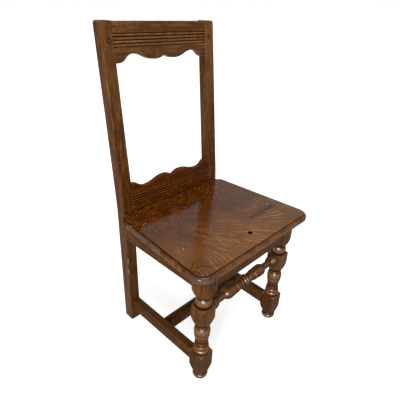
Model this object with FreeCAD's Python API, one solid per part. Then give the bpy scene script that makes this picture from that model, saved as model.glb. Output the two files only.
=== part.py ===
import FreeCAD, Part
import math
import os
from FreeCAD import Vector

# A child's joined oak chair: two back posts, two turned front legs, rails and stretchers,
# all held by mortise and tenon joints and wooden pegs, with a plank seat on top.
# Millimetres, +Z up, +Y towards the back, +X to the right; left and right are as seen from the front.
# The origin lies on the floor, in the middle of the chair's width and depth.

# Overall sizes
SEAT_HEIGHT = 310.0             # floor to the top of the seat board
BACK_HEIGHT = 685.4             # floor to the tops of the back posts
FRAME_WIDTH = 289.0             # over the outer faces of the legs and of the posts
FRAME_DEPTH = 244.5             # front faces of the legs to front faces of the posts
BACK_LEAN = 36.4                # how far the tops of the posts stand behind their feet

# Fits
JOINT_CLEARANCE = 0.1           # between a tenon or peg and the sides of its hole
BLIND_CLEARANCE = 0.5           # between the end of a tenon or peg and the bottom of its hole
MORTISE_WALL = 1.5              # wood left between two mortises that meet in one post or leg
TENON_SHOULDER = 7.0            # how much lower and higher a rail is than its tenon
EDGE_ROUND = 1.2                # worn long edges of posts, legs, rails and stretchers

# Back posts
POST_WIDTH = 25.5
POST_DEPTH_FOOT = 28.0
POST_DEPTH_TOP = 22.5
POST_TOP_ROUND = 6.0            # rounded outer corner at the top
POST_FOOT_CHAMFER = 1.5
BEND_ABOVE_SEAT = 12.0          # where the upright and the leaning line would cross
BEND_REACH = 25.0               # the bend's length below and above that crossing

# Back rails
BACK_RAIL_THICKNESS = 12.0
BACK_RAIL_SET_BACK = 1.2        # behind the front faces of the posts
BACK_TENON_THICKNESS = 6.0
BACK_TENON_LENGTH = 18.0
TOP_RAIL_HEIGHT = 71.8
TOP_RAIL_DROP = 0.3             # below the tops of the posts
TOP_RAIL_MARGIN = 20.4          # plain band above the reeds
LOWER_RAIL_HEIGHT = 62.5
LOWER_RAIL_GAP = 0.7            # above the seat
LOWER_RAIL_MARGIN = 13.8        # plain band below the reeds
REED_COUNT = 4
REED_PITCH = 6.0
REED_DEPTH = 2.0
REED_GROOVE = 1.4               # flat between two reeds
SCALLOP_FLAT = 6.0              # straight end of the scalloped edge, beside the post
TOP_SCALLOP_PEAK = 15.4         # depth of the hollow in the top rail
LOWER_SCALLOP_PEAK = 13.4       # depth of the hollow in the lower rail
SCALLOP_PEAK_IN = 40.0          # from the post to the deepest point of the hollow
SCALLOP_LOBE = 2.8              # depth at the lobe
SCALLOP_LOBE_OUT = 25.0         # from the middle of the rail to the lobe
SCALLOP_CUSP = 10.8             # depth of the notch in the middle

# Seat board
SEAT_THICKNESS = 15.0
SEAT_OVERHANG = 22.0            # beyond the front faces of the legs
SEAT_SIDE_FRONT = 32.5          # beyond the outer faces of the legs, at the front corners
SEAT_SIDE_BACK = 15.5           # beyond the outer faces of the posts, at the back corners
SEAT_FRONT_ROUND = 27.0         # front corners, seen from above
SEAT_BACK_ROUND = 13.0          # back corners, seen from above
SEAT_POST_GAP = 0.3             # round the back posts
SEAT_STEP = 1.5                 # small step round the raised field
SEAT_STEP_IN = 7.0              # from the edge to that step
SEAT_NOSE = 6.0                 # rounded upper edge outside the step
SEAT_UNDER_ROUND = 3.0          # rounded lower edge

# Seat rails
SEAT_RAIL_HEIGHT = 49.0
FRONT_RAIL_THICKNESS = 25.0
FRONT_RAIL_SET_BACK = 2.0       # behind the front faces of the legs
SIDE_RAIL_THICKNESS = 20.0
SIDE_RAIL_IN_FRONT = 3.0        # from the outer face of the leg to that of the rail
SIDE_RAIL_IN_BACK = 0.6         # from the outer face of the post to that of the rail
SEAT_TENON_THICKNESS = 8.0
SEAT_TENON_LENGTH = 19.0
REAR_RAIL_SET_BACK = 9.0        # behind the front faces of the posts
REAR_RAIL_THICKNESS = 16.0

# Front legs, from the floor up
LEG_SQUARE = 35.2
FOOT_FLAT_RADIUS = 9.5
BUN_RADIUS = 16.7
BUN_HEIGHT = 12.0
BEAD_RADIUS = 14.9
BEAD_HEIGHT = 4.2
QUIRK_RADIUS = 13.2             # narrow grooves beside beads, balls and shoulders
LOW_SHOULDER = 20.8             # rounded underside of the low block
LOW_BLOCK = 39.0
BLOCK_CROWN = 2.5               # rise of the rounded upper end of the low and middle blocks
CROWN_BULGE = 0.6               # how far that end swells beyond a straight cone
CROWN_RADIUS = 16.0             # where that rounded end meets the ring or ball above
BASE_RING_RADIUS = 17.0
BASE_RING_HEIGHT = 10.5
SMALL_RING_RADIUS = 15.8
SMALL_RING_HEIGHT = 10.8
RING_FOOT_RADIUS = 14.8         # in the shallow groove between those two rings
COLLAR_RADIUS = 14.4            # third and smallest ring, against the neck
COLLAR_HEIGHT = 7.5
NECK_RADIUS = 12.6
NECK_HEIGHT = 2.0
FLARE_RADIUS = 14.9             # widening from the neck to the first groove round the vase
FLARE_HEIGHT = 10.4
FLARE_BULGE = 0.3
BAND_RADIUS = 16.6              # rounded band between the two grooves round the vase, at its top
BAND_HEIGHT = 10.8
BAND_BULGE = 0.5
VASE_RADIUS = 17.1
VASE_HEIGHT = 17.5              # above those grooves
VASE_PEAK = 4.0                 # from the upper groove to the widest point
VASE_GROOVE = 1.4               # each groove round the vase, and the one above its top ring
VASE_GROOVE_DEPTH = 1.3
VASE_RING_RADIUS = 14.8
VASE_RING_HEIGHT = 4.0
MID_SHOULDER = 19.8
MID_BLOCK = 30.0
BALL_RADIUS = 17.0
BALL_HEIGHT = 22.2
TOP_SHOULDER = 18.3
TOP_BLOCK_BELOW_RAIL = 2.0      # square part that shows under the seat rails
SHOULDER_BULGE = 0.9            # how far a shoulder swells beyond a straight cone

# Front stretcher, from its middle to its end
CENTRE_RING_RADIUS = 13.4
CENTRE_RING_WIDTH = 7.6         # each of the two middle rings
CENTRE_RING_QUIRK = 0.6         # width of the groove beside them
RING_FLANK = 2.0                # how much less the radius is at the feet of rings and collars
SMALL_BEAD_OUT = 12.2
SMALL_BEAD_RADIUS = 10.8
SMALL_BEAD_WIDTH = 4.4
WAIST_RADIUS = 9.0
WAIST_BULGE = 0.7               # swelling of the taper from the waist to the bulb's ring
BULB_RING_OUT = 30.5
BULB_RING_RADIUS = 12.7
BULB_RING_WIDTH = 3.0
BULB_RING_FLANK = 0.9
BULB_RADIUS = 13.5
BULB_WIDTH = 34.0
BULB_PEAK = 19.0                # from the bulb's ring to its widest point
BULB_INNER_BULGE = 0.5
BULB_OUTER_BULGE = 2.2
ROD_RADIUS = 7.6
INNER_COLLAR_RADIUS = 11.4
INNER_COLLAR_WIDTH = 5.4
END_COLLAR_RADIUS = 13.0
END_COLLAR_WIDTH = 6.8          # each of the two end collars
ROUND_TENON_RADIUS = 5.5
ROUND_TENON_LENGTH = 15.0

# Low stretchers
STRETCHER_THICKNESS = 17.5
STRETCHER_HEIGHT = 30.5
STRETCHER_ABOVE_FLOOR = 33.0
STRETCHER_IN_FRONT = 9.0        # from the outer face of the leg to that of the stretcher
STRETCHER_IN_BACK = 6.2         # from the outer face of the post to that of the stretcher
STRETCHER_TENON_THICKNESS = 8.0
STRETCHER_TENON_LENGTH = 14.0
CROSS_THICKNESS = 20.0
CROSS_HEIGHT = 27.0
CROSS_BEHIND_LEG = 105.0        # from the backs of the front legs to the middle of the cross stretcher
CROSS_TENON_LENGTH = 10.0

# Pegs
PEG_RADIUS = 4.0
PEG_PROUD = 0.4                 # how far a peg stands out of the wood
PEG_ROUND = 1.0                 # worn rim of its end
PEG_IN = 10.4                   # from a tenon's shoulder to the peg
POST_PEG_LENGTH = 19.0
SEAT_PEG_LENGTH = 36.0
SEAT_PEG_FRONT = 35.0           # from the backs of the front legs to the front pegs of the seat
SEAT_PEG_SPACING = 126.0
SEAT_PEG_OUT = 2.5              # outside the middle of the side rail
LOST_PEG_DEPTH = 9.0            # how far the empty peg hole reaches into the front rail
LOST_PEG_FROM_BACK = 7.0        # from the back face of the front rail
LOST_PEG_RIGHT = 4.5            # from the middle of the chair
LOST_PEG_WEAR = 0.8             # how much wider that hole has worn

# Places worked out from the sizes above
half_width = FRAME_WIDTH / 2
chair_depth = SEAT_OVERHANG + FRAME_DEPTH + BACK_LEAN + POST_DEPTH_TOP
seat_front_y = -chair_depth / 2
leg_front_y = seat_front_y + SEAT_OVERHANG
leg_back_y = leg_front_y + LEG_SQUARE
leg_x = half_width - LEG_SQUARE / 2
leg_y = leg_front_y + LEG_SQUARE / 2
post_front_y = leg_front_y + FRAME_DEPTH
post_x = half_width - POST_WIDTH / 2
post_inner_x = half_width - POST_WIDTH
leg_inner_x = half_width - LEG_SQUARE
seat_under_z = SEAT_HEIGHT - SEAT_THICKNESS
rail_low_z = seat_under_z - SEAT_RAIL_HEIGHT
bend_z = SEAT_HEIGHT + BEND_ABOVE_SEAT
lean_angle = math.atan2(BACK_LEAN, BACK_HEIGHT - bend_z)
lean_length = math.hypot(BACK_LEAN, BACK_HEIGHT - bend_z)
front_rail_y = leg_front_y + FRONT_RAIL_SET_BACK + FRONT_RAIL_THICKNESS / 2
front_rail_back_y = front_rail_y + FRONT_RAIL_THICKNESS / 2
rear_rail_y = post_front_y + REAR_RAIL_SET_BACK + REAR_RAIL_THICKNESS / 2
base_ring_z = BUN_HEIGHT + BEAD_HEIGHT + LOW_SHOULDER + LOW_BLOCK
top_block_z = rail_low_z - TOP_BLOCK_BELOW_RAIL
ball_z = top_block_z - TOP_SHOULDER - BALL_HEIGHT
mid_block_z = ball_z - MID_BLOCK
front_stretcher_z = mid_block_z + MID_BLOCK / 2
ring_heights = BASE_RING_HEIGHT + SMALL_RING_HEIGHT + COLLAR_HEIGHT + NECK_HEIGHT + FLARE_HEIGHT
vase_heights = BAND_HEIGHT + VASE_HEIGHT + VASE_RING_HEIGHT + 3 * VASE_GROOVE + MID_SHOULDER
turning_fit = (mid_block_z - base_ring_z) / (ring_heights + vase_heights)
peg_hole_radius = PEG_RADIUS + JOINT_CLEARANCE
leg_peg_length = PEG_PROUD + FRONT_RAIL_SET_BACK + (FRONT_RAIL_THICKNESS + SEAT_TENON_THICKNESS) / 2
between_mortises = MORTISE_WALL + BLIND_CLEARANCE + 2 * JOINT_CLEARANCE


def face(place, start, steps):
    """Closed face; a step is a point for a straight run, or two points for an arc through the first."""
    edges = []
    here = start
    for step in steps + [start]:
        if isinstance(step[0], tuple):
            through, end = step
            edges.append(Part.Arc(place(*here), place(*through), place(*end)).toShape())
        else:
            end = step
            edges.append(Part.LineSegment(place(*here), place(*end)).toShape())
        here = end
    return Part.Face(Part.Wire(edges))


def box(x, y, z):
    """Block between pairs of coordinates."""
    size = [high - low for low, high in (x, y, z)]
    return Part.makeBox(*size, Vector(x[0], y[0], z[0]))


def bar(corners, low_z, height):
    """Upright prism on corners given in plan."""
    plan = face(lambda x, y: Vector(x, y, low_z), corners[0], corners[1:])
    return plan.extrude(Vector(0, 0, height))


def around(middle, width):
    """Pair of coordinates a width apart, about a middle."""
    return (middle - width / 2, middle + width / 2)


def grown(block, end):
    """Mortise for a square tenon: its box with room at the sides, and at the end that goes in."""
    bounds = block.BoundBox
    low = Vector(bounds.XMin, bounds.YMin, bounds.ZMin)
    high = Vector(bounds.XMax, bounds.YMax, bounds.ZMax)
    side = Vector(JOINT_CLEARANCE, JOINT_CLEARANCE, JOINT_CLEARANCE)
    low = low - side
    high = high + side
    reach = end * BLIND_CLEARANCE
    low = low + Vector(min(reach.x, 0), min(reach.y, 0), min(reach.z, 0))
    high = high + Vector(max(reach.x, 0), max(reach.y, 0), max(reach.z, 0))
    return box((low.x, high.x), (low.y, high.y), (low.z, high.z))


def softened(shape, runs_along):
    """Rounds the long edges, which are those for which runs_along is true."""
    edges = [edge for edge in shape.Edges if runs_along(edge)]
    return shape.makeFillet(EDGE_ROUND, edges)


def along(axis):
    """Test for an edge that runs mostly along an axis."""
    def test(edge):
        ends = edge.Vertexes
        run = ends[-1].Point - ends[0].Point
        return run.Length > EDGE_ROUND and abs(run.dot(axis)) > 0.9 * run.Length
    return test


def mirrored(shape):
    """The same piece for the other side of the chair."""
    return shape.mirror(Vector(0, 0, 0), Vector(1, 0, 0))


def leaning(shape):
    """Turns a piece of the back, built upright behind the plane y = 0, to the lean of the posts."""
    leaned = shape.copy()
    leaned.rotate(Vector(0, 0, 0), Vector(1, 0, 0), -math.degrees(lean_angle))
    leaned.translate(Vector(0, post_front_y, bend_z))
    return leaned


def peg(length):
    """Peg standing on its inner end, with a worn rim at the end that shows."""
    blank = Part.makeCylinder(PEG_RADIUS, length)
    rim = [edge for edge in blank.Edges if abs(edge.BoundBox.ZMin - length) < 1e-6]
    return blank.makeFillet(PEG_ROUND, rim)


def peg_hole(length):
    """Room for that peg, from below its inner end to beyond the surface."""
    return Part.makeCylinder(peg_hole_radius, length + BLIND_CLEARANCE, Vector(0, 0, -BLIND_CLEARANCE))


def pointing(shape, towards, tip):
    """Turns an upright piece of pegging so that its top points one way and ends at a tip."""
    turned_piece = shape.copy()
    turn = FreeCAD.Rotation(Vector(0, 0, 1), towards)
    turned_piece.Placement = FreeCAD.Placement(tip, turn)
    return turned_piece


# Back rails, built upright: x across, y from the posts' front plane to the back, z from the bend
def quarter(start, end):
    """Arc that leaves its start level and ends at a point."""
    across = end[0] - start[0]
    rise = end[1] - start[1]
    radius = (across ** 2 + rise ** 2) / (2 * rise)
    half_turn = math.atan2(abs(across), abs(radius) - abs(rise)) / 2
    through_x = start[0] + math.copysign(abs(radius) * math.sin(half_turn), across)
    through_z = start[1] + radius * (1 - math.cos(half_turn))
    return ((through_x, through_z), end)


def ogee(start, end):
    """Two equal arcs, level at both ends and meeting halfway."""
    middle = ((start[0] + end[0]) / 2, (start[1] + end[1]) / 2)
    first = quarter(start, middle)
    through = (start[0] + end[0] - first[0][0], start[1] + end[1] - first[0][1])
    return [first, (through, end)]


def flipped(start, steps):
    """The same run of steps seen in the mirror x = 0, walked from its far end back to its start."""
    ends = [start] + [step[1] if isinstance(step[0], tuple) else step for step in steps]
    back = []
    for step, end in zip(reversed(steps), reversed(ends[:-1])):
        end = (-end[0], end[1])
        if isinstance(step[0], tuple):
            back.append(((-step[0][0], step[0][1]), end))
        else:
            back.append(end)
    return back


def scalloped_edge(level, inwards, hollow):
    """Steps along the shaped edge of a back rail, from its right end to its left end."""
    corner = (post_inner_x, level)
    flat_end = (post_inner_x - SCALLOP_FLAT, level)
    peak = (post_inner_x - SCALLOP_PEAK_IN, level + inwards * hollow)
    lobe = (SCALLOP_LOBE_OUT, level + inwards * SCALLOP_LOBE)
    cusp = (0.0, level + inwards * SCALLOP_CUSP)
    half = [flat_end] + ogee(flat_end, peak) + ogee(peak, lobe) + [quarter(lobe, cusp)]
    return [corner] + half + flipped(corner, half)


def reeded_section(low, high, first_groove):
    """Section of a back rail: plain back, front with reeds between flat-bottomed grooves."""
    front = BACK_RAIL_SET_BACK
    deep = front + REED_DEPTH
    start = first_groove - REED_GROOVE / 2
    steps = [(front, start), (deep, start)]
    for reed in range(REED_COUNT):
        groove = first_groove + reed * REED_PITCH
        foot = groove + REED_GROOVE / 2
        next_foot = groove + REED_PITCH - REED_GROOVE / 2
        steps += [(deep, foot), ((front, (foot + next_foot) / 2), (deep, next_foot))]
    last = first_groove + REED_COUNT * REED_PITCH + REED_GROOVE / 2
    steps += [(deep, last), (front, last), (front, high)]
    steps += [(front + BACK_RAIL_THICKNESS, high), (front + BACK_RAIL_THICKNESS, low)]
    return face(lambda y, z: Vector(-post_inner_x, y, z), (front, low), steps)


def back_rail(low, high, first_groove, scallop):
    """Rail between the posts: its reeded section, cut to its scalloped outline."""
    length = Vector(2 * post_inner_x, 0, 0)
    moulding = reeded_section(low, high, first_groove).extrude(length)
    outline = face(lambda x, z: Vector(x, 0, z), scallop[0], scallop[1])
    return moulding.common(outline.extrude(Vector(0, BACK_RAIL_SET_BACK + BACK_RAIL_THICKNESS, 0)))


def back_tenon(low, high):
    """Tenon of a back rail on the right, between two heights."""
    thickness = around(BACK_RAIL_SET_BACK + BACK_RAIL_THICKNESS / 2, BACK_TENON_THICKNESS)
    return box((post_inner_x, post_inner_x + BACK_TENON_LENGTH), thickness, (low, high))


top_rail_high = lean_length - TOP_RAIL_DROP
top_rail_low = top_rail_high - TOP_RAIL_HEIGHT
top_rail_reeds = top_rail_high - TOP_RAIL_MARGIN - REED_COUNT * REED_PITCH
top_rail_tenon = back_tenon(top_rail_low + TENON_SHOULDER, top_rail_high - TENON_SHOULDER)
top_peg_height = top_rail_reeds + REED_COUNT * REED_PITCH / 2

back_rail_back = BACK_RAIL_SET_BACK + BACK_RAIL_THICKNESS
lower_rail_rise = LOWER_RAIL_GAP - BEND_ABOVE_SEAT + back_rail_back * math.sin(lean_angle)
lower_rail_low = lower_rail_rise / math.cos(lean_angle)
lower_rail_high = lower_rail_low + LOWER_RAIL_HEIGHT
lower_rail_reeds = lower_rail_low + LOWER_RAIL_MARGIN
lower_rail_tenon = back_tenon(lower_rail_low + TENON_SHOULDER, lower_rail_high - TENON_SHOULDER)


def top_peg_at(piece):
    """Sets a peg or its hole in the front of the right post, through the top rail's tenon."""
    tip = Vector(post_inner_x + PEG_IN, POST_PEG_LENGTH - PEG_PROUD, top_peg_height)
    return leaning(pointing(piece, Vector(0, -1, 0), tip))


def top_rail():
    corner = (-post_inner_x, top_rail_high)
    edge = [(post_inner_x, top_rail_high)] + scalloped_edge(top_rail_low, 1, TOP_SCALLOP_PEAK)
    rail = back_rail(top_rail_low, top_rail_high, top_rail_reeds, (corner, edge))
    rail = leaning(rail.fuse([top_rail_tenon, mirrored(top_rail_tenon)]))
    hole = top_peg_at(peg_hole(POST_PEG_LENGTH))
    return rail.cut([hole, mirrored(hole)])


def lower_back_rail():
    corner = (-post_inner_x, lower_rail_low)
    edge = [(post_inner_x, lower_rail_low)] + scalloped_edge(lower_rail_high, -1, LOWER_SCALLOP_PEAK)
    rail = back_rail(lower_rail_low, lower_rail_high, lower_rail_reeds, (corner, edge))
    return leaning(rail.fuse([lower_rail_tenon, mirrored(lower_rail_tenon)]))


def top_rail_pegs():
    right = top_peg_at(peg(POST_PEG_LENGTH))
    return Part.makeCompound([right, mirrored(right)])


# Seat rails and low stretchers
side_tenon_front = leg_back_y - front_rail_y - SEAT_TENON_THICKNESS / 2 - between_mortises
side_tenon_rear = REAR_RAIL_SET_BACK + (REAR_RAIL_THICKNESS - SEAT_TENON_THICKNESS) / 2 - between_mortises
seat_tenon_z = (rail_low_z + TENON_SHOULDER, seat_under_z - TENON_SHOULDER)
stretcher_tenon_z = (STRETCHER_ABOVE_FLOOR + TENON_SHOULDER,
                     STRETCHER_ABOVE_FLOOR + STRETCHER_HEIGHT - TENON_SHOULDER)


def side_middle(in_front, in_back, thickness):
    """Middle line of a right side piece, set in from the outer faces of leg and post: x at a given y."""
    def middle(y):
        share = (y - leg_back_y) / (post_front_y - leg_back_y)
        return half_width - in_front + share * (in_front - in_back) - thickness / 2
    return middle


side_rail_x = side_middle(SIDE_RAIL_IN_FRONT, SIDE_RAIL_IN_BACK, SIDE_RAIL_THICKNESS)
side_stretcher_x = side_middle(STRETCHER_IN_FRONT, STRETCHER_IN_BACK, STRETCHER_THICKNESS)


def side_bar(middle, thickness, low_z, height):
    """Right side rail or stretcher without its tenons, from the back of the leg to the front of the post."""
    ends = (leg_back_y, post_front_y)
    outer = [(middle(y) + thickness / 2, y) for y in ends]
    inner = [(middle(y) - thickness / 2, y) for y in reversed(ends)]
    return softened(bar(outer + inner, low_z, height), along(Vector(0, 1, 0)))


def side_tenons(middle, thickness, front_length, rear_length, z):
    """Tenons at the front and rear ends of a right side rail or stretcher."""
    front = box(around(middle(leg_back_y), thickness), (leg_back_y - front_length, leg_back_y), z)
    rear = box(around(middle(post_front_y), thickness), (post_front_y, post_front_y + rear_length), z)
    return front, rear


side_rail_tenons = side_tenons(side_rail_x, SEAT_TENON_THICKNESS, side_tenon_front,
                               side_tenon_rear, seat_tenon_z)
side_stretcher_tenons = side_tenons(side_stretcher_x, STRETCHER_TENON_THICKNESS, STRETCHER_TENON_LENGTH,
                                    STRETCHER_TENON_LENGTH, stretcher_tenon_z)
front_rail_tenon = box((leg_inner_x, leg_inner_x + SEAT_TENON_LENGTH),
                       around(front_rail_y, SEAT_TENON_THICKNESS), seat_tenon_z)
rear_rail_tenon = box((post_inner_x, post_inner_x + SEAT_TENON_LENGTH),
                      around(rear_rail_y, SEAT_TENON_THICKNESS), seat_tenon_z)


def front_peg_at(piece):
    """Sets a peg or its hole in the front of the right leg, through the front rail's tenon."""
    height = (rail_low_z + seat_under_z) / 2
    tip = Vector(leg_inner_x + PEG_IN, leg_front_y + leg_peg_length - PEG_PROUD, height)
    return pointing(piece, Vector(0, -1, 0), tip)


def seat_pegs_at(piece):
    """Sets pegs or holes through the seat board into each side rail."""
    places = []
    low_z = SEAT_HEIGHT + PEG_PROUD - SEAT_PEG_LENGTH
    for step in range(2):
        y = leg_back_y + SEAT_PEG_FRONT + step * SEAT_PEG_SPACING
        right = pointing(piece, Vector(0, 0, 1), Vector(side_rail_x(y) + SEAT_PEG_OUT, y, low_z))
        places += [right, mirrored(right)]
    return places


def lost_peg_hole():
    """Open hole of a peg that has gone, through the seat board into the front rail."""
    depth = SEAT_THICKNESS + LOST_PEG_DEPTH
    low = Vector(LOST_PEG_RIGHT, front_rail_back_y - LOST_PEG_FROM_BACK, SEAT_HEIGHT - depth)
    return Part.makeCylinder(peg_hole_radius + LOST_PEG_WEAR, depth, low)


def cross_rail(half_length, middle_y, thickness, tenon):
    """Front or rear seat rail with its two tenons."""
    rail = box((-half_length, half_length), around(middle_y, thickness), (rail_low_z, seat_under_z))
    rail = softened(rail, along(Vector(1, 0, 0)))
    return rail.fuse([tenon, mirrored(tenon)])


def front_seat_rail():
    rail = cross_rail(leg_inner_x, front_rail_y, FRONT_RAIL_THICKNESS, front_rail_tenon)
    hole = front_peg_at(peg_hole(leg_peg_length))
    return rail.cut([hole, mirrored(hole), lost_peg_hole()])


def rear_seat_rail():
    return cross_rail(post_inner_x, rear_rail_y, REAR_RAIL_THICKNESS, rear_rail_tenon)


def right_seat_rail():
    rail = side_bar(side_rail_x, SIDE_RAIL_THICKNESS, rail_low_z, SEAT_RAIL_HEIGHT)
    return rail.fuse(list(side_rail_tenons)).cut(seat_pegs_at(peg_hole(SEAT_PEG_LENGTH)))


def front_rail_pegs():
    right = front_peg_at(peg(leg_peg_length))
    return Part.makeCompound([right, mirrored(right)])


def seat_pegs():
    return Part.makeCompound(seat_pegs_at(peg(SEAT_PEG_LENGTH)))


cross_y = leg_back_y + CROSS_BEHIND_LEG
cross_tenon_z = (STRETCHER_ABOVE_FLOOR + TENON_SHOULDER,
                 STRETCHER_ABOVE_FLOOR + CROSS_HEIGHT - TENON_SHOULDER)
cross_tenon_x = side_stretcher_x(cross_y) - STRETCHER_THICKNESS / 2
cross_tenon = box((cross_tenon_x - CROSS_TENON_LENGTH, cross_tenon_x + CROSS_TENON_LENGTH),
                  around(cross_y, STRETCHER_TENON_THICKNESS), cross_tenon_z)


def right_side_stretcher():
    stretcher = side_bar(side_stretcher_x, STRETCHER_THICKNESS, STRETCHER_ABOVE_FLOOR, STRETCHER_HEIGHT)
    return stretcher.fuse(list(side_stretcher_tenons)).cut(grown(cross_tenon, Vector(1, 0, 0)))


def cross_stretcher():
    """Bar between the side stretchers, with ends that follow their inner faces."""
    front_y, back_y = around(cross_y, CROSS_THICKNESS)
    right = [(side_stretcher_x(y) - STRETCHER_THICKNESS / 2, y) for y in (front_y, back_y)]
    left = [(-x, y) for x, y in reversed(right)]
    body = softened(bar(right + left, STRETCHER_ABOVE_FLOOR, CROSS_HEIGHT), along(Vector(1, 0, 0)))
    return body.fuse([cross_tenon, mirrored(cross_tenon)])


# Back posts
def bend(foot_y, top_y):
    """Points where one line of a post's side view starts to bend, is half bent, and leans straight."""
    run = top_y - foot_y
    rise = BACK_HEIGHT - bend_z
    length = math.hypot(run, rise)
    turn = math.atan2(run, rise)
    radius = BEND_REACH / math.tan(turn / 2)
    start = (foot_y, bend_z - BEND_REACH)
    half = (foot_y + radius * (1 - math.cos(turn / 2)), start[1] + radius * math.sin(turn / 2))
    end = (foot_y + BEND_REACH * run / length, bend_z + BEND_REACH * rise / length)
    return start, half, end


def right_back_post():
    """Side view of the post, cut to its width, with the mortises of the rails that it carries."""
    foot_back = post_front_y + POST_DEPTH_FOOT
    top_front = post_front_y + BACK_LEAN
    top_back = top_front + POST_DEPTH_TOP
    front = bend(post_front_y, top_front)
    back = bend(foot_back, top_back)
    steps = [front[0], (front[1], front[2]), (top_front, BACK_HEIGHT), (top_back, BACK_HEIGHT)]
    steps += [back[2], (back[1], back[0]), (foot_back, 0.0)]
    side = face(lambda y, z: Vector(post_inner_x, y, z), (post_front_y, 0.0), steps)
    post = side.extrude(Vector(POST_WIDTH, 0, 0))
    corner = [edge for edge in post.Edges
              if abs(edge.BoundBox.ZMin - BACK_HEIGHT) < 1e-6 and abs(edge.BoundBox.XMin - half_width) < 1e-6]
    post = post.makeFillet(POST_TOP_ROUND, corner)
    foot = [edge for edge in post.Edges if abs(edge.BoundBox.ZMax) < 1e-6]
    post = post.makeChamfer(POST_FOOT_CHAMFER, foot)
    post = softened(post, along(Vector(0, 0, 1)))
    inward = Vector(0, 1, 0)
    sideways = Vector(1, 0, 0)
    mortises = [leaning(grown(top_rail_tenon, sideways)), leaning(grown(lower_rail_tenon, sideways))]
    mortises += [grown(rear_rail_tenon, sideways), grown(side_rail_tenons[1], inward)]
    mortises += [grown(side_stretcher_tenons[1], inward), top_peg_at(peg_hole(POST_PEG_LENGTH))]
    return post.cut(mortises)


# Turned pieces
def turned(start, steps):
    """Solid turned about the Z axis; steps give radius and height from the lower to the upper end."""
    profile = face(lambda radius, z: Vector(radius, 0, z), start, steps)
    return profile.revolve(Vector(0, 0, 0), Vector(0, 0, 1), 360)


def swell(radius, low, high):
    """Rounded ring or ball between two points of a profile, widest halfway up."""
    return ((radius, (low[1] + high[1]) / 2), high)


def swollen(low, high, bulge):
    """Arc between two points of a profile that swells beyond the straight line."""
    run = Vector(high[0] - low[0], high[1] - low[1], 0)
    outwards = Vector(run.y, -run.x, 0).normalize()
    through = Vector(low[0], low[1], 0) + run / 2 + outwards * bulge
    return ((through.x, through.y), high)


def square_block(low_z, shoulder, high_z):
    """Turned shoulder from a neck out to the corners, then the part that the turning tool leaves square."""
    corner = LEG_SQUARE / math.sqrt(2)
    outer = swollen((QUIRK_RADIUS, low_z), (corner, low_z + shoulder), SHOULDER_BULGE)
    return [outer, (LEG_SQUARE, low_z + shoulder), (LEG_SQUARE, high_z)]


def crown(low_z):
    """Rounded upper end of a square block, from its corners in to the ring or ball above."""
    corner = LEG_SQUARE / math.sqrt(2)
    return [(corner, low_z), swollen((corner, low_z), (CROWN_RADIUS, low_z + BLOCK_CROWN), CROWN_BULGE)]


def leg_foot():
    """Bun foot, small bead and low block."""
    bun_top = (QUIRK_RADIUS, BUN_HEIGHT)
    bead_top = (QUIRK_RADIUS, BUN_HEIGHT + BEAD_HEIGHT)
    steps = [(FOOT_FLAT_RADIUS, 0.0), swell(BUN_RADIUS, (0.0, 0.0), bun_top)]
    steps += [swell(BEAD_RADIUS, bun_top, bead_top)]
    return steps + square_block(bead_top[1], LOW_SHOULDER, base_ring_z - BLOCK_CROWN)


def above(point, radius, height):
    """Next point up the turning between the low and middle blocks, which keeps its proportions."""
    return (radius, point[1] + turning_fit * height)


def leg_neck():
    """Crown of the low block, three rings of falling size and the neck."""
    ring_low = (QUIRK_RADIUS, base_ring_z)
    ring_top = above(ring_low, RING_FOOT_RADIUS, BASE_RING_HEIGHT)
    small_top = above(ring_top, QUIRK_RADIUS, SMALL_RING_HEIGHT)
    neck_low = above(small_top, NECK_RADIUS, COLLAR_HEIGHT)
    steps = crown(base_ring_z - BLOCK_CROWN) + [ring_low, swell(BASE_RING_RADIUS, ring_low, ring_top)]
    steps += [swell(SMALL_RING_RADIUS, ring_top, small_top), swell(COLLAR_RADIUS, small_top, neck_low)]
    return steps + [above(neck_low, NECK_RADIUS, NECK_HEIGHT)]


def groove(low):
    """Small groove in a turned surface, narrowest halfway up."""
    return [above(low, low[0] - VASE_GROOVE_DEPTH, VASE_GROOVE / 2), above(low, low[0], VASE_GROOVE)]


def leg_vase(neck):
    """Flare, band, vase and its top ring, up to the shoulder of the middle block."""
    flare = above(neck, FLARE_RADIUS, FLARE_HEIGHT)
    steps = [swollen(neck, flare, FLARE_BULGE)] + groove(flare)
    band_top = above(steps[-1], BAND_RADIUS, BAND_HEIGHT)
    steps += [swollen(steps[-1], band_top, BAND_BULGE)] + groove(band_top)
    peak = above(steps[-1], VASE_RADIUS, VASE_PEAK)
    vase_top = above(steps[-1], QUIRK_RADIUS, VASE_HEIGHT)
    ring_top = above(vase_top, QUIRK_RADIUS, VASE_RING_HEIGHT)
    return steps + [(peak, vase_top), swell(VASE_RING_RADIUS, vase_top, ring_top)] + groove(ring_top)


def leg_turning():
    """Turning of a front leg: foot, neck, vase and ball between the square blocks."""
    steps = leg_foot() + leg_neck()
    steps += leg_vase(steps[-1])
    steps += square_block(steps[-1][1], mid_block_z - steps[-1][1], ball_z - BLOCK_CROWN)
    ball_low = (QUIRK_RADIUS, ball_z)
    ball_top = (QUIRK_RADIUS, ball_z + BALL_HEIGHT)
    steps += crown(ball_z - BLOCK_CROWN) + [ball_low, swell(BALL_RADIUS, ball_low, ball_top)]
    steps += square_block(ball_top[1], TOP_SHOULDER, seat_under_z) + [(0.0, seat_under_z)]
    return turned((0.0, 0.0), steps)


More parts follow.
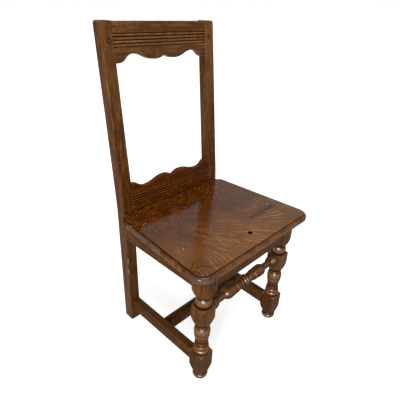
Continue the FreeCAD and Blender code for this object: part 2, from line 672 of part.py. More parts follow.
def right_front_leg():
    """Square billet, turned between its blocks, with the mortises of what it carries."""
    billet = box(around(0, LEG_SQUARE), around(0, LEG_SQUARE), (0.0, seat_under_z))
    leg = softened(billet, along(Vector(0, 0, 1))).common(leg_turning())
    leg.translate(Vector(leg_x, leg_y, 0))
    inward = Vector(0, -1, 0)
    mortises = [grown(front_rail_tenon, Vector(1, 0, 0)), grown(side_rail_tenons[0], inward)]
    mortises += [grown(side_stretcher_tenons[0], inward), front_peg_at(peg_hole(leg_peg_length))]
    socket = Part.makeCylinder(ROUND_TENON_RADIUS + JOINT_CLEARANCE, ROUND_TENON_LENGTH + BLIND_CLEARANCE,
                               Vector(leg_inner_x, leg_y, front_stretcher_z), Vector(1, 0, 0))
    return leg.cut(mortises + [socket])


def stretcher_middle():
    """Middle ring, small bead and the taper up to the bulb's ring, on one half of the front stretcher."""
    flank = (CENTRE_RING_RADIUS - RING_FLANK, CENTRE_RING_WIDTH)
    bead = around(SMALL_BEAD_OUT, SMALL_BEAD_WIDTH)
    bead_low = (WAIST_RADIUS, bead[0])
    bead_high = (WAIST_RADIUS, bead[1])
    ring = (BULB_RING_RADIUS - BULB_RING_FLANK, BULB_RING_OUT - BULB_RING_WIDTH / 2)
    steps = [(flank[0], 0.0), swell(CENTRE_RING_RADIUS, (flank[0], 0.0), flank)]
    steps += [(WAIST_RADIUS, CENTRE_RING_WIDTH + CENTRE_RING_QUIRK), bead_low]
    return steps + [swell(SMALL_BEAD_RADIUS, bead_low, bead_high), swollen(bead_high, ring, WAIST_BULGE)]


def stretcher_bulb(ring_low):
    """Bulb with its ring, and the thin rod that it tapers to."""
    ring_high = (ring_low[0], ring_low[1] + BULB_RING_WIDTH)
    peak = (BULB_RADIUS, ring_high[1] + BULB_PEAK)
    rod = (ROD_RADIUS, ring_high[1] + BULB_WIDTH)
    steps = [swell(BULB_RING_RADIUS, ring_low, ring_high), swollen(ring_high, peak, BULB_INNER_BULGE)]
    return steps + [swollen(peak, rod, BULB_OUTER_BULGE)]


def stretcher_end():
    """Three collars against the leg, and the round tenon that goes into it."""
    foot = END_COLLAR_RADIUS - RING_FLANK
    here = (ROD_RADIUS, leg_inner_x - 2 * END_COLLAR_WIDTH - INNER_COLLAR_WIDTH)
    steps = [here]
    collars = [(INNER_COLLAR_RADIUS, INNER_COLLAR_WIDTH)] + 2 * [(END_COLLAR_RADIUS, END_COLLAR_WIDTH)]
    for radius, width in collars:
        end = (foot, here[1] + width)
        steps += [swell(radius, here, end)]
        here = end
    tenon_end = leg_inner_x + ROUND_TENON_LENGTH
    return steps + [(ROUND_TENON_RADIUS, leg_inner_x), (ROUND_TENON_RADIUS, tenon_end), (0.0, tenon_end)]


def stretcher_turning():
    """Half of the front stretcher, turned from its middle out to its round tenon."""
    steps = stretcher_middle()
    steps += stretcher_bulb(steps[-1][1])
    return turned((0.0, 0.0), steps + stretcher_end())


def front_stretcher():
    half = stretcher_turning()
    half.rotate(Vector(0, 0, 0), Vector(0, 1, 0), 90)
    half.translate(Vector(0, leg_y, front_stretcher_z))
    return half.fuse(mirrored(half)).removeSplitter()


# Seat board
def plank(inset, low_z, high_z):
    """Seat outline drawn in by an inset, with rounded corners."""
    front = seat_front_y + inset
    back = post_front_y - SEAT_POST_GAP - inset
    front_half = half_width + SEAT_SIDE_FRONT - inset
    back_half = half_width + SEAT_SIDE_BACK - inset
    corners = [(-front_half, front), (front_half, front), (back_half, back), (-back_half, back)]
    board = bar(corners, low_z, high_z - low_z)
    upright = [edge for edge in board.Edges if along(Vector(0, 0, 1))(edge)]
    front_edges = [edge for edge in upright if edge.CenterOfMass.y < leg_y]
    board = board.makeFillet(max(SEAT_FRONT_ROUND - inset, EDGE_ROUND), front_edges)
    upright = [edge for edge in board.Edges if along(Vector(0, 0, 1))(edge)]
    back_edges = [edge for edge in upright if edge.CenterOfMass.y > back - 1.0]
    return board.makeFillet(max(SEAT_BACK_ROUND - inset, EDGE_ROUND), back_edges)


def seat_board():
    """Plank with a rounded nose, a raised field inside it, and a tongue that runs back between the posts."""
    step_z = SEAT_HEIGHT - SEAT_STEP
    board = plank(0.0, seat_under_z, step_z)
    top_rim = [edge for edge in board.Edges if edge.BoundBox.ZMin > step_z - 1e-6]
    board = board.makeFillet(SEAT_NOSE, top_rim)
    low_rim = [edge for edge in board.Edges if edge.BoundBox.ZMax < seat_under_z + 1e-6]
    board = board.makeFillet(SEAT_UNDER_ROUND, low_rim)
    field = plank(SEAT_STEP_IN, seat_under_z + SEAT_UNDER_ROUND, SEAT_HEIGHT)
    ear_back = post_front_y - SEAT_POST_GAP
    inner = ear_back - 2 * SEAT_STEP_IN
    run_in = box((-half_width, half_width), (inner, ear_back), (seat_under_z, SEAT_HEIGHT))
    tongue_half = post_inner_x - SEAT_POST_GAP
    tongue_back = rear_rail_y + REAR_RAIL_THICKNESS / 2
    tongue = box((-tongue_half, tongue_half), (inner, tongue_back), (seat_under_z, SEAT_HEIGHT))
    board = board.fuse([field, run_in, tongue]).removeSplitter()
    return board.cut(seat_pegs_at(peg_hole(SEAT_PEG_LENGTH)) + [lost_peg_hole()])


def main():
    os.makedirs("parts", exist_ok=True)
    paired = {
        "back_post": right_back_post,
        "front_leg": right_front_leg,
        "seat_rail": right_seat_rail,
        "side_stretcher": right_side_stretcher,
    }
    single = [top_rail, lower_back_rail, front_seat_rail, rear_seat_rail, seat_board, front_stretcher,
              cross_stretcher, top_rail_pegs, front_rail_pegs, seat_pegs]
    pieces = {make.__name__: make() for make in single}
    for name, make in paired.items():
        right = make()
        pieces["right_" + name] = right
        pieces["left_" + name] = mirrored(right)
    for name, shape in pieces.items():
        shape.exportStep("parts/" + name + ".step")
        volume = sum(solid.Volume for solid in shape.Solids) / 1000
        state = "valid" if shape.isValid() else "INVALID"
        print(name, len(shape.Solids), "solids", round(volume, 1), "cm3", state)


main()
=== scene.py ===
# %% [markdown]
# # A child's joined oak chair
# The chair is a rigid frame: two back posts, two turned legs, rails and stretchers, and a plank seat.
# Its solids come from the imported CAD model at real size, in metres, with the floor at z = 0 and the
# front of the chair facing -Y. They could be modelled again here, but they already have the right shape.
# So this lesson spends its time on the wood: old quartersawn oak, waxed and rubbed for generations.

# %% Load the chair
import math
import bpy
from mathutils import Matrix, Vector


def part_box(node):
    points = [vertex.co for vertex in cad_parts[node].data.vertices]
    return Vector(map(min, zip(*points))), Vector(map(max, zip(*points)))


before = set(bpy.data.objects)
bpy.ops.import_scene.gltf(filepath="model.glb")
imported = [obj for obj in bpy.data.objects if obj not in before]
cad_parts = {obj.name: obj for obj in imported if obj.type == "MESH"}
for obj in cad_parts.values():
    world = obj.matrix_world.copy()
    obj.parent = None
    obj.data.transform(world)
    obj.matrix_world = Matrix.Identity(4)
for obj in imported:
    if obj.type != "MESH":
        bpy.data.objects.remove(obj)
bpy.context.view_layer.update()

# %% [markdown]
# ## Shader maths as plain expressions
# A wood grain is a sum of noises, masks and mixes. Its Math nodes could be wired one by one, but that
# hides the idea. So a small class wraps an output socket, and an expression on wrapped values, such as
# 1 - mask, adds the Math nodes for it.


# %% Values
class Value:
    """What an output socket gives: a number, a colour or a vector. Only numbers go into expressions."""

    def __init__(self, finish, socket):
        self.finish = finish
        self.socket = socket

    def __add__(self, other):
        return self.finish.calculate("ADD", self, other)

    def __radd__(self, other):
        return self.finish.calculate("ADD", other, self)

    def __sub__(self, other):
        return self.finish.calculate("SUBTRACT", self, other)

    def __rsub__(self, other):
        return self.finish.calculate("SUBTRACT", other, self)

    def __mul__(self, other):
        return self.finish.calculate("MULTIPLY", self, other)

    def __rmul__(self, other):
        return self.finish.calculate("MULTIPLY", other, self)

    def __truediv__(self, other):
        return self.finish.calculate("DIVIDE", self, other)

    def __pow__(self, other):
        return self.finish.calculate("POWER", self, other)

    def __mod__(self, other):
        return self.finish.calculate("FLOORED_MODULO", self, other)

    def __abs__(self):
        return self.finish.calculate("ABSOLUTE", self, 0.0)


print("values ready for expressions")

# %% [markdown]
# ## A finish and its nodes
# Each piece of the chair has a finish of its own, which is a material here. Every node in it comes from
# one method, which sets the node's options first and then its sockets, because an option can change which
# sockets count. Whole node groups could be kept instead. Short methods do the same and read as plain
# words: mixing two colours, a soft step between two numbers, and noise that is stretched along the grain.

# %% Finishes
MIX_FACTOR, MIX_FIRST, MIX_SECOND, MIX_RESULT = 0, 6, 7, 2      # sockets of a Mix node that mixes colours


class Finish:
    """One material and the nodes that make it."""

    def __init__(self, name):
        self.material = bpy.data.materials.new(name)
        self.material.use_nodes = True
        self.tree = self.material.node_tree
        self.tree.nodes.clear()

    def node(self, kind, settings=None, sockets=None):
        """Adds a node, sets its options and then its sockets, and returns its outputs as values."""
        node = self.tree.nodes.new(kind)
        for option, setting in (settings or {}).items():
            setattr(node, option, setting)
        for name, value in (sockets or {}).items():
            socket = node.inputs[name]
            if isinstance(value, Value):
                self.tree.links.new(value.socket, socket)
            else:
                socket.default_value = value
        # A name that several outputs share stands for the first of them
        outputs = {output.name: Value(self, output) for output in reversed(node.outputs)}
        outputs.update({number: Value(self, output) for number, output in enumerate(node.outputs)})
        return outputs

    def calculate(self, operation, first, second):
        """Math on two numbers."""
        return self.node("ShaderNodeMath", {"operation": operation}, {0: first, 1: second})["Value"]

    def combine(self, operation, first, second):
        """Vector Math on two vectors."""
        return self.node("ShaderNodeVectorMath", {"operation": operation}, {0: first, 1: second})["Vector"]

    def mix(self, first, second, factor, blend="MIX"):
        """Mixes two colours."""
        settings = {"data_type": "RGBA", "blend_type": blend, "clamp_factor": True}
        sockets = {MIX_FACTOR: factor, MIX_FIRST: first, MIX_SECOND: second}
        return self.node("ShaderNodeMix", settings, sockets)[MIX_RESULT]

    def step(self, value, low, high):
        """Rises smoothly from 0 at low to 1 at high, or falls where high is the lower number."""
        ends = {"From Min": low, "From Max": high, "To Min": 0.0, "To Max": 1.0}
        if high < low:
            ends = {"From Min": high, "From Max": low, "To Min": 1.0, "To Max": 0.0}
        settings = {"interpolation_type": "SMOOTHSTEP"}
        return self.node("ShaderNodeMapRange", settings, {"Value": value, **ends})["Result"]

    def noise(self, place, lumps, detail=2.0, roughness=0.5, distortion=0.0):
        """Noise with its own count of lumps per metre along each axis."""
        sockets = {"Vector": self.combine("MULTIPLY", place, lumps), "Scale": 1.0, "Detail": detail,
                   "Roughness": roughness, "Distortion": distortion}
        return self.node("ShaderNodeTexNoise", {}, sockets)["Fac"]

    def join(self, x, y, z):
        """Vector from three numbers."""
        return self.node("ShaderNodeCombineXYZ", {}, {"X": x, "Y": y, "Z": z})["Vector"]

    def distance(self, across, along):
        """Length of a line, from how far it goes in two directions."""
        return (across * across + along * along) ** 0.5


print("finishes ready")

# %% [markdown]
# ## The colours of old oak
# Oak that has been waxed for generations is a dark red brown, more golden where hands rub it, and nearly
# black where wax and dust gather. One brown in random shades would look like plastic. So each colour has
# its own name, and the steps below say where on the chair it belongs.

# %% Colours
DARK_WAX = (0.008, 0.0022, 0.0006, 1.0)     # wax and dust in hollows, pores and joints
DARK_OAK = (0.030, 0.0098, 0.0020, 1.0)     # dark streaks and stains
MID_OAK = (0.092, 0.0345, 0.0075, 1.0)      # wood between the streaks
PALE_OAK = (0.200, 0.0860, 0.0260, 1.0)     # pale streaks
GOLD_RAY = (0.300, 0.1280, 0.0320, 1.0)     # flecks of the rays
RED_OAK = (0.290, 0.1050, 0.0200, 1.0)      # wood rubbed warm through the wax
WORN_OAK = (0.290, 0.1400, 0.0550, 1.0)     # edges with the wax worn off
GREY_OAK = (0.150, 0.0950, 0.0550, 1.0)     # dry wood
CHALK = (0.600, 0.4800, 0.3400, 1.0)        # fresh chips and scars
print("colours of oak ready")

# %% [markdown]
# ## Wood with a grain
# Oak has three directions: along the grain, along the rays from the heart of the tree, and along the
# growth rings. Long streaks and pores follow the grain. The rays are thin ribbons that flash as golden
# flecks where a saw cut runs along them. A flat pattern could be laid on each face, but it would break at
# every edge. So one three-dimensional wood is built in those directions, and each piece only says which
# of its axes is which.

# %% Oak
RAY_BEND, RING_BEND = 0.030, 0.012      # how far slow waves bend the grain


class Oak(Finish):
    """Sawn oak; order names the axes that run along the rays, along the rings and along the grain."""

    def __init__(self, name, order, start, tone=0.0):
        super().__init__(name)
        self.place = self.node("ShaderNodeTexCoord")["Object"]
        self.axes = self.node("ShaderNodeSeparateXYZ", {}, {"Vector": self.place})
        straight = self.join(*[self.axes[axis] + distance for axis, distance in zip(order, start)])
        waves = self.noise(straight, (9.0, 9.0, 4.0), 1.0) - 0.5
        bend = self.join(waves * RAY_BEND, waves * RING_BEND, 0.0)
        self.wood = self.combine("ADD", straight, bend)
        self.grain(tone)

    def paint(self, colour, where):
        """Lays a colour over the wood."""
        self.colour = self.mix(self.colour, colour, where)

    def stain(self, tint, where):
        """Darkens the wood through a clear tint."""
        self.colour = self.mix(self.colour, tint, where, "MULTIPLY")

    def grain(self, tone):
        """Bands, streaks and pores along the grain, paler for a higher tone."""
        bands = self.noise(self.wood, (45.0, 45.0, 1.6), 2.0)
        streaks = self.noise(self.wood, (220.0, 220.0, 5.0), 3.0, 0.6)
        lines = self.noise(self.wood, (600.0, 600.0, 28.0), 2.0, 0.6)
        shade = bands * 0.30 + streaks * 0.60 + lines * 0.45 + tone
        self.colour = self.mix(DARK_OAK, MID_OAK, self.step(shade, 0.50, 0.70))
        self.paint(PALE_OAK, self.step(shade, 0.66, 0.90) * 0.80)
        pores = self.noise(self.wood, (1000.0, 1000.0, 60.0), 1.0)
        pores = self.step(pores, 0.55, 0.66) * self.step(streaks, 0.35, 0.60)
        self.paint(DARK_WAX, pores * 0.60)
        self.streaks = streaks * 0.6 + lines * 0.4
        self.height = lines * 0.25 + streaks * 0.35 - pores * 0.6
        self.roughness = 0.45 + (lines - 0.5) * 0.10 + pores * 0.20

    def rays(self, strength):
        """Short golden flecks where the rays come to the surface."""
        flecks = self.noise(self.wood, (40.0, 300.0, 130.0), 1.0, 0.5, 0.6)
        patches = self.noise(self.wood, (14.0, 14.0, 6.0), 1.0)
        self.paint(GOLD_RAY, self.step(flecks, 0.57, 0.66) * self.step(patches, 0.40, 0.62) * strength)


print("oak ready")

# %% [markdown]
# ## Wax, wear and hands
# Age lies on top of the grain: dark wax in the hollows, pale wear on the edges, and polish where hands
# rub. It could be painted on each piece by hand. The Ambient Occlusion node finds hollows on any shape
# and, turned inside, its edges, so one method ages every piece. The wax is a clear coat. A perfect coat
# turns white at low angles, which old wax hardly does, so Layer Weight dulls it there.
# Turned swellings also get painted light and shade: paler upper sides as painted light, and darker undersides
# and necks as painted shade.

# %% Old oak
FEELERS = 8                     # directions that an Ambient Occlusion node looks in
HOLLOW_SIZE = 0.006             # width of a hollow that fills with wax
NECK_SIZE = 0.030               # width of a neck that is painted darker as shade
PORE_RELIEF = 0.0004            # depth of the bump
WAX_ROUGHNESS = 0.14
WAX_IOR = 1.5
PEG_JOINT = 0.0042              # radius of the dark joint round a peg


class OldOak(Oak):
    """Oak with its age on it, and painted light and shade for turned swellings."""

    def openness(self, size, **settings):
        """One in the open, and less where surfaces closer than a size stand in the way."""
        settings = {"samples": FEELERS, **settings}
        return self.node("ShaderNodeAmbientOcclusion", settings, {"Distance": size})["AO"]

    def age(self, wear=0.60, wax=0.90, reach=0.0035):
        """Dark wax in the hollows, pale wear on the edges as far in as reach, uneven tone all over."""
        hollows = self.step(1.0 - self.openness(HOLLOW_SIZE), 0.28, 0.70)
        edges = self.step(1.0 - self.openness(reach, inside=True, only_local=True), 0.30, 0.65)
        clouds = self.noise(self.place, (18.0, 18.0, 18.0), 3.0, 0.6)
        scuffs = self.noise(self.place, (160.0, 160.0, 160.0), 2.0, 0.6)
        self.paint(DARK_OAK, self.step(clouds, 0.50, 0.75) * 0.50)
        self.paint(WORN_OAK, edges * self.step(scuffs + clouds, 0.70, 1.10) * wear)
        self.paint(DARK_WAX, hollows * wax)
        self.roughness = self.roughness + hollows * 0.20 + (clouds - 0.5) * 0.10

    def paint_light_and_shade(self, strength, lit_colour=GOLD_RAY):
        """Painted light on the upper sides of swellings, painted shade below them and in the necks."""
        facing = self.node("ShaderNodeNewGeometry")["Normal"]
        upwards = self.node("ShaderNodeSeparateXYZ", {}, {"Vector": facing})["Z"]
        # painted shade in the necks, painted light on upper sides, painted shade on undersides
        necks = self.step(self.openness(NECK_SIZE), 0.75, 0.35)
        self.paint(lit_colour, self.step(upwards, 0.05, 0.75) * strength * 0.50)
        self.paint(DARK_OAK, self.step(upwards, 0.05, -0.60) * strength * 0.80)
        self.paint(DARK_OAK, necks * strength * 0.60)

    def peg_joint(self, across, along, strength):
        """Dark joint round a peg, from the distances to its middle in two directions."""
        off_joint = abs(self.distance(across, along) - PEG_JOINT)
        self.paint(DARK_WAX, self.step(off_joint, 0.0016, 0.0003) * strength)

    def close(self, polish, shine=0.04, dull=(0.75, 0.40)):
        """Joins the finish to the shader, waxed where polished; dull says at which angles the wax fades."""
        facing = self.node("ShaderNodeLayerWeight", {}, {"Blend": 0.5})["Facing"]
        relief = {"Height": self.height, "Strength": 0.35, "Distance": PORE_RELIEF}
        sockets = {"Base Color": self.colour, "Roughness": self.roughness, "IOR": WAX_IOR,
                   "Normal": self.node("ShaderNodeBump", {}, relief)["Normal"],
                   "Specular IOR Level": shine, "Coat Weight": polish * self.step(facing, *dull),
                   "Coat Roughness": WAX_ROUGHNESS, "Coat IOR": WAX_IOR}
        shader = self.node("ShaderNodeBsdfPrincipled", {}, sockets)["BSDF"]
        self.node("ShaderNodeOutputMaterial", {}, {"Surface": shader})
        return self.material


print("old oak ready")

# %% [markdown]
# ## Plain rails and stretchers
# Four rails carry the seat, and three low stretchers tie the legs. Nobody rubs them, so they keep the
# bare finish: streaks along the piece, a few flecks, wax in the corners and hardly any polish. One
# material could serve them all, but then the same streaks would show on each. So each piece starts from
# its own part of the wood.

# %% Rails and stretchers
GRAIN_ACROSS, GRAIN_BACK = "ZYX", "ZXY"     # the axes of the rays, the rings and the grain
PLAIN_STARTS = (0.37, 0.53, 0.71)           # from one piece's part of the wood to the next
DRY = 0.02                                  # wax on wood that nobody rubs
DARK_RAILS = {"front_seat_rail": -0.03}


def wear_finish(piece, material):
    """Gives a CAD piece its finish."""
    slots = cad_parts[piece].data.materials
    slots.clear()
    slots.append(material)


plain_pieces = {
    "front_seat_rail": GRAIN_ACROSS, "rear_seat_rail": GRAIN_ACROSS, "cross_stretcher": GRAIN_ACROSS,
    "left_seat_rail": GRAIN_BACK, "right_seat_rail": GRAIN_BACK,
    "left_side_stretcher": GRAIN_BACK, "right_side_stretcher": GRAIN_BACK,
}
for number, (piece, order) in enumerate(plain_pieces.items()):
    start = [distance * number for distance in PLAIN_STARTS]
    oak = OldOak(piece + "_oak", order, start, tone=DARK_RAILS.get(piece, 0.0))
    oak.rays(0.20)
    oak.age()
    wear_finish(piece, oak.close(DRY, shine=0.02))
print("plain pieces:", len(plain_pieces))

# %% [markdown]
# ## The lean of the back
# Above the seat the posts lean back, and the two rails between them lean with them. Their finish has to
# know how deep a point lies behind that leaning front: wax stays in what lies deep, and what stands proud
# is rubbed. A Mapping node could turn the coordinates. Two lines of trigonometry give the depth itself,
# in metres, and it can be set against the real size of a groove.

# %% Lean of the back
BEND_HEIGHT, LEAN_BACK = 0.3220, 0.0364     # where the posts start to lean, and how far back their tops are
PEG_RADIUS = 0.0040
post_low, post_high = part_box("left_back_post")
lean = math.atan2(LEAN_BACK, post_high.z - BEND_HEIGHT)


def depth_behind_front(oak):
    """Distance behind the leaning front plane of the back posts."""
    back = (oak.axes["Y"] - post_low.y) * math.cos(lean)
    return back - (oak.axes["Z"] - BEND_HEIGHT) * math.sin(lean)


def peg_place(group):
    """How far out, and how high, the front ends of a group of pegs lie."""
    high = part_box(group)[1]
    return high.x - PEG_RADIUS, high.z - PEG_RADIUS


top_peg_out, top_peg_up = peg_place("top_rail_pegs")
print("lean of the back in degrees:", round(math.degrees(lean), 1))

# %% [markdown]
# ## Back posts
# Each post is rear leg and back upright in one piece. It is painted darker and redder just above the seat
# as shade, faded on its upper front, rubbed pale along its outer edge and, on the left one, chipped low
# down. A dark joint runs round each peg. An image could be painted for this, but the post would have to be
# unwrapped first. Masks on height and depth need no unwrapping, and they lie right from any side.

# %% Back posts
GRAIN_UP = "XYZ"
# painted shade just above the seat, darker and redder
POST_SHADE_TINT = (1.0, 0.80, 0.52, 1.0)
POST_FADES = {"left_back_post": PALE_OAK, "right_back_post": WORN_OAK}
FADED_FROM, FADED_TO = 0.48, 0.56       # heights between which the fading sets in
SCARS_UP, SCARS_IN = 0.172, 0.0004      # height of the scars, and how far in from both faces they lie


def cut_from(start, number):
    """Where in the wood a piece starts, so that no two pieces of a kind are alike."""
    return (start + number, 0.3 * number, 0.6 * number)


def scars_on_edge(oak):
    """Small chips on the outer front edge of the left post, below the seat."""
    scars = oak.step(oak.noise(oak.place, (260.0, 260.0, 45.0), 2.0), 0.46, 0.54)
    for axis, face in (("X", post_low.x), ("Y", post_low.y)):
        scars = scars * oak.step(abs(oak.axes[axis] - (face + SCARS_IN)), 0.0014, 0.0006)
    return scars * oak.step(abs(oak.axes["Z"] - SCARS_UP), 0.026, 0.016)


for number, (piece, faded) in enumerate(POST_FADES.items()):
    oak = OldOak(piece + "_oak", GRAIN_UP, cut_from(0.9, number), tone=0.01)
    out, height, depth = abs(oak.axes["X"]), oak.axes["Z"], depth_behind_front(oak)
    oak.paint(RED_OAK, oak.step(oak.streaks, 0.50, 0.62) * 0.27)
    oak.paint(DARK_OAK, oak.step(oak.streaks, 0.50, 0.38) * 0.36)
    oak.rays(0.08)
    # painted shade just above the seat, darker and redder
    oak.stain(POST_SHADE_TINT, oak.step(height, 0.305, 0.315) * oak.step(height, 0.47, 0.38))
    front = oak.step(depth, 0.0040, 0.0020)
    oak.paint(faded, front * oak.step(height, FADED_FROM, FADED_TO) * 0.25)
    oak.age(wear=1.00, reach=0.0042)
    if piece == "left_back_post":
        oak.paint(CHALK, scars_on_edge(oak) * 0.60)
    oak.peg_joint(out - top_peg_out, height - top_peg_up, 0.85)
    outer_face = -post_low.x
    edge = oak.step(out, outer_face - 0.0021, outer_face - 0.0011) * oak.step(depth, 0.0024, 0.0012)
    rubs = oak.step(oak.noise(oak.place, (90.0, 90.0, 14.0), 2.0), 0.38, 0.56)
    oak.paint(WORN_OAK, edge * rubs * oak.step(height, 0.50, 0.58) * 0.70)
    wear_finish(piece, oak.close(DRY, shine=0.05))
print("back posts:", len(POST_FADES))

# %% [markdown]
# ## Reeded back rails
# The top rail and the lower back rail have four reeds each. Wax has stayed in the grooves between them,
# and the crests are rubbed to gold, which also paints them lighter as highlights. The lower rail is painted
# darker and redder as shade, and its crests are paler less. An edge mask would find the crests too, but it
# would catch every other edge of the rail as well. The depth behind the front tells crest from groove
# exactly, because the reeds are real shapes.

# %% Reeded rails
# painted shade, reddened by light off the amber seat
SHADE_TINT = (1.0, 0.58, 0.25, 1.0)
# Lower and upper end of the reeds along the lean, crest rubbing and painted highlight, and painted shade
REEDS = {"top_rail": (0.320, 0.345, 0.80, 0.0), "lower_back_rail": (0.003, 0.028, 0.18, 1.0)}
for number, (piece, (low, high, rub_and_highlight, in_shade)) in enumerate(REEDS.items()):
    # a lower tone for the rail in painted shade
    oak = OldOak(piece + "_oak", GRAIN_ACROSS, cut_from(2.9, number), tone=0.035 - 0.02 * in_shade)
    oak.paint(RED_OAK, oak.step(oak.streaks, 0.50, 0.62) * 0.20)
    oak.paint(DARK_OAK, oak.step(oak.streaks, 0.48, 0.40) * 0.20)
    # painted shade on the lower rail
    oak.stain(SHADE_TINT, in_shade)
    oak.rays(0.20)
    oak.age()
    depth = depth_behind_front(oak)
    reach = (oak.axes["Z"] - BEND_HEIGHT) / math.cos(lean)
    reeds = oak.step(reach, low, low + 0.001) * oak.step(reach, high, high - 0.001)
    crests = reeds * oak.step(depth, 0.0020, 0.0013)
    rubs = oak.step(oak.noise(oak.place, (70.0, 300.0, 300.0), 2.0, 0.6), 0.50, 0.66)
    # crests: rubbed, and painted highlight
    oak.paint(RED_OAK, crests * (0.40 - 0.15 * in_shade))
    oak.paint(WORN_OAK, crests * rubs * rub_and_highlight)
    grooves = reeds * oak.step(depth, 0.0019, 0.0029) * oak.step(depth, 0.0080, 0.0060)
    oak.paint(DARK_WAX, grooves * 0.90)
    # painted shade on the lower rail above its reeds
    oak.paint(DARK_OAK, oak.step(reach, high, high + 0.006) * 0.25 * in_shade)
    wear_finish(piece, oak.close(DRY, shine=0.10 - 0.07 * in_shade))
print("reeded rails:", len(REEDS))

# %% [markdown]
# ## Turned legs
# The front legs are turned between square blocks. Hands and feet have polished the round parts and rubbed
# the widest of them paler, which also stands as painted highlight, and wax fills the grooves. The swellings
# are painted lighter on their upper sides as light, and darker below and in the necks between them as
# shade. Two materials on selected faces could do this, but the CAD mesh stays as it is. The flat faces of
# the blocks lie at the full width of the leg and everything turned lies inside it, so that width separates
# polished from plain.

# %% Turned legs
LEGS = ["left_front_leg", "right_front_leg"]
TURNED_DULL = (0.50, 0.20)              # the wax of turned pieces fades early
LOW_BLOCK_TOP, LOW_BLOCK_DARK = 0.12, 0.06      # the low blocks darken between these heights
# Height of each groove above the floor, and how full of wax it is
LEG_GROOVES = {0.0120: 0.6, 0.0162: 0.6, 0.0763: 0.5, 0.0865: 0.3, 0.0973: 0.4, 0.1058: 0.5,
               0.1179: 0.1, 0.1301: 0.9, 0.1483: 0.3, 0.1530: 0.5, 0.2038: 0.5, 0.2257: 0.6}
leg_peg_out, leg_peg_up = peg_place("front_rail_pegs")


def turned_part(oak, piece):
    """Mask for all that is turned on a leg, between its flat faces, and the radius of the turning."""
    low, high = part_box(piece)
    middle, half = (low + high) / 2, (high.x - low.x) / 2
    across, deep = abs(oak.axes["X"] - middle.x), abs(oak.axes["Y"] - middle.y)
    farther = oak.calculate("MAXIMUM", across, deep)
    return oak.step(farther, half - 0.0001, half - 0.0005), oak.distance(across, deep)


def fill_grooves(oak, along, grooves, where):
    """Dark wax in the grooves of a turned piece: how far along it each lies, and how full it is."""
    for place, full in grooves.items():
        oak.paint(DARK_WAX, oak.step(abs(along - place), 0.0017, 0.0004) * where * full)


for number, piece in enumerate(LEGS):
    oak = OldOak(piece + "_oak", GRAIN_UP, cut_from(3.9, number), tone=0.02)
    height = oak.axes["Z"]
    turned, radius = turned_part(oak, piece)
    oak.paint(GOLD_RAY, oak.step(oak.streaks, 0.40, 0.62) * 0.25)
    oak.paint(RED_OAK, turned * 0.30)
    # paler where the turning is widest: rubbing, and painted highlight
    oak.paint(PALE_OAK, turned * oak.step(radius, 0.0145, 0.0168) * 0.40)
    oak.paint(DARK_OAK, oak.step(oak.streaks, 0.48, 0.40) * (0.40 - 0.25 * turned))
    oak.rays(0.15)
    oak.paint(DARK_OAK, oak.step(height, LOW_BLOCK_TOP, LOW_BLOCK_DARK) * (1.0 - turned) * 0.60)
    # painted light on upper sides, painted shade below and in the necks
    oak.paint_light_and_shade(turned)
    # painted shade in the narrow necks
    oak.paint(DARK_OAK, turned * oak.step(radius, 0.0162, 0.0136) * 0.75)
    oak.age(wax=0.60)
    fill_grooves(oak, height, LEG_GROOVES, oak.step(radius, 0.0178, 0.0173))
    oak.peg_joint(abs(oak.axes["X"]) - leg_peg_out, height - leg_peg_up, 0.85)
    polish = turned * oak.step(radius, 0.0130, 0.0165)
    wear_finish(piece, oak.close(DRY + 0.50 * polish, shine=0.03, dull=TURNED_DULL))
print("turned legs:", len(LEGS), "grooves on each:", len(LEG_GROOVES))

# %% [markdown]
# ## Turned front stretcher
# The stretcher is turned along its whole length, so it needs no mask for blocks. It is darker than the
# legs, with painted light on the upper sides of its swellings and painted shade below them and in its
# necks. Its thin beads are painted pale as highlights. An edge mask is too coarse for beads this thin, so
# each has its own place. Its two halves mirror each other, and one list of distances from the middle does
# both.

# %% Turned stretcher
STRETCHER_GROOVES = {0.0000: 0.6, 0.0079: 0.6, 0.0144: 0.3, 0.0290: 0.5, 0.0320: 0.5, 0.0903: 0.5,
                     0.0957: 0.5, 0.1025: 0.5}
# painted highlights on the bead crests: distance from the middle, and strength
STRETCHER_BEAD_HIGHLIGHTS = {0.0038: 0.5, 0.0122: 0.4, 0.0305: 0.7, 0.0991: 0.4}
oak = OldOak("front_stretcher_oak", GRAIN_ACROSS, cut_from(4.9, 1), tone=0.02)
outward = abs(oak.axes["X"])
oak.paint(DARK_OAK, 0.45)
oak.rays(0.15)
# painted light on upper sides, painted shade below and in the necks
oak.paint_light_and_shade(1.0, lit_colour=RED_OAK)
oak.age(wax=0.50)
fill_grooves(oak, outward, STRETCHER_GROOVES, 0.70)
# painted highlights on the beads
for place, rub_and_highlight in STRETCHER_BEAD_HIGHLIGHTS.items():
    oak.paint(WORN_OAK, oak.step(abs(outward - place), 0.0013, 0.0004) * rub_and_highlight)
wear_finish("front_stretcher", oak.close(0.42, shine=0.02, dull=TURNED_DULL))
print("beads on each half of the stretcher:", len(STRETCHER_BEAD_HIGHLIGHTS))

# %% [markdown]
# ## Pegs
# Wooden pegs lock the tenons and hold the seat down. Their grain runs along the peg, so the ends that
# show are end grain: dark in the posts and legs, with a grey middle at the top rail, and pale at the
# front of the seat. Each group of pegs is one node with one finish. Two materials could tell the seat's
# front pegs from its back ones, but a mask on depth does it without touching the mesh.

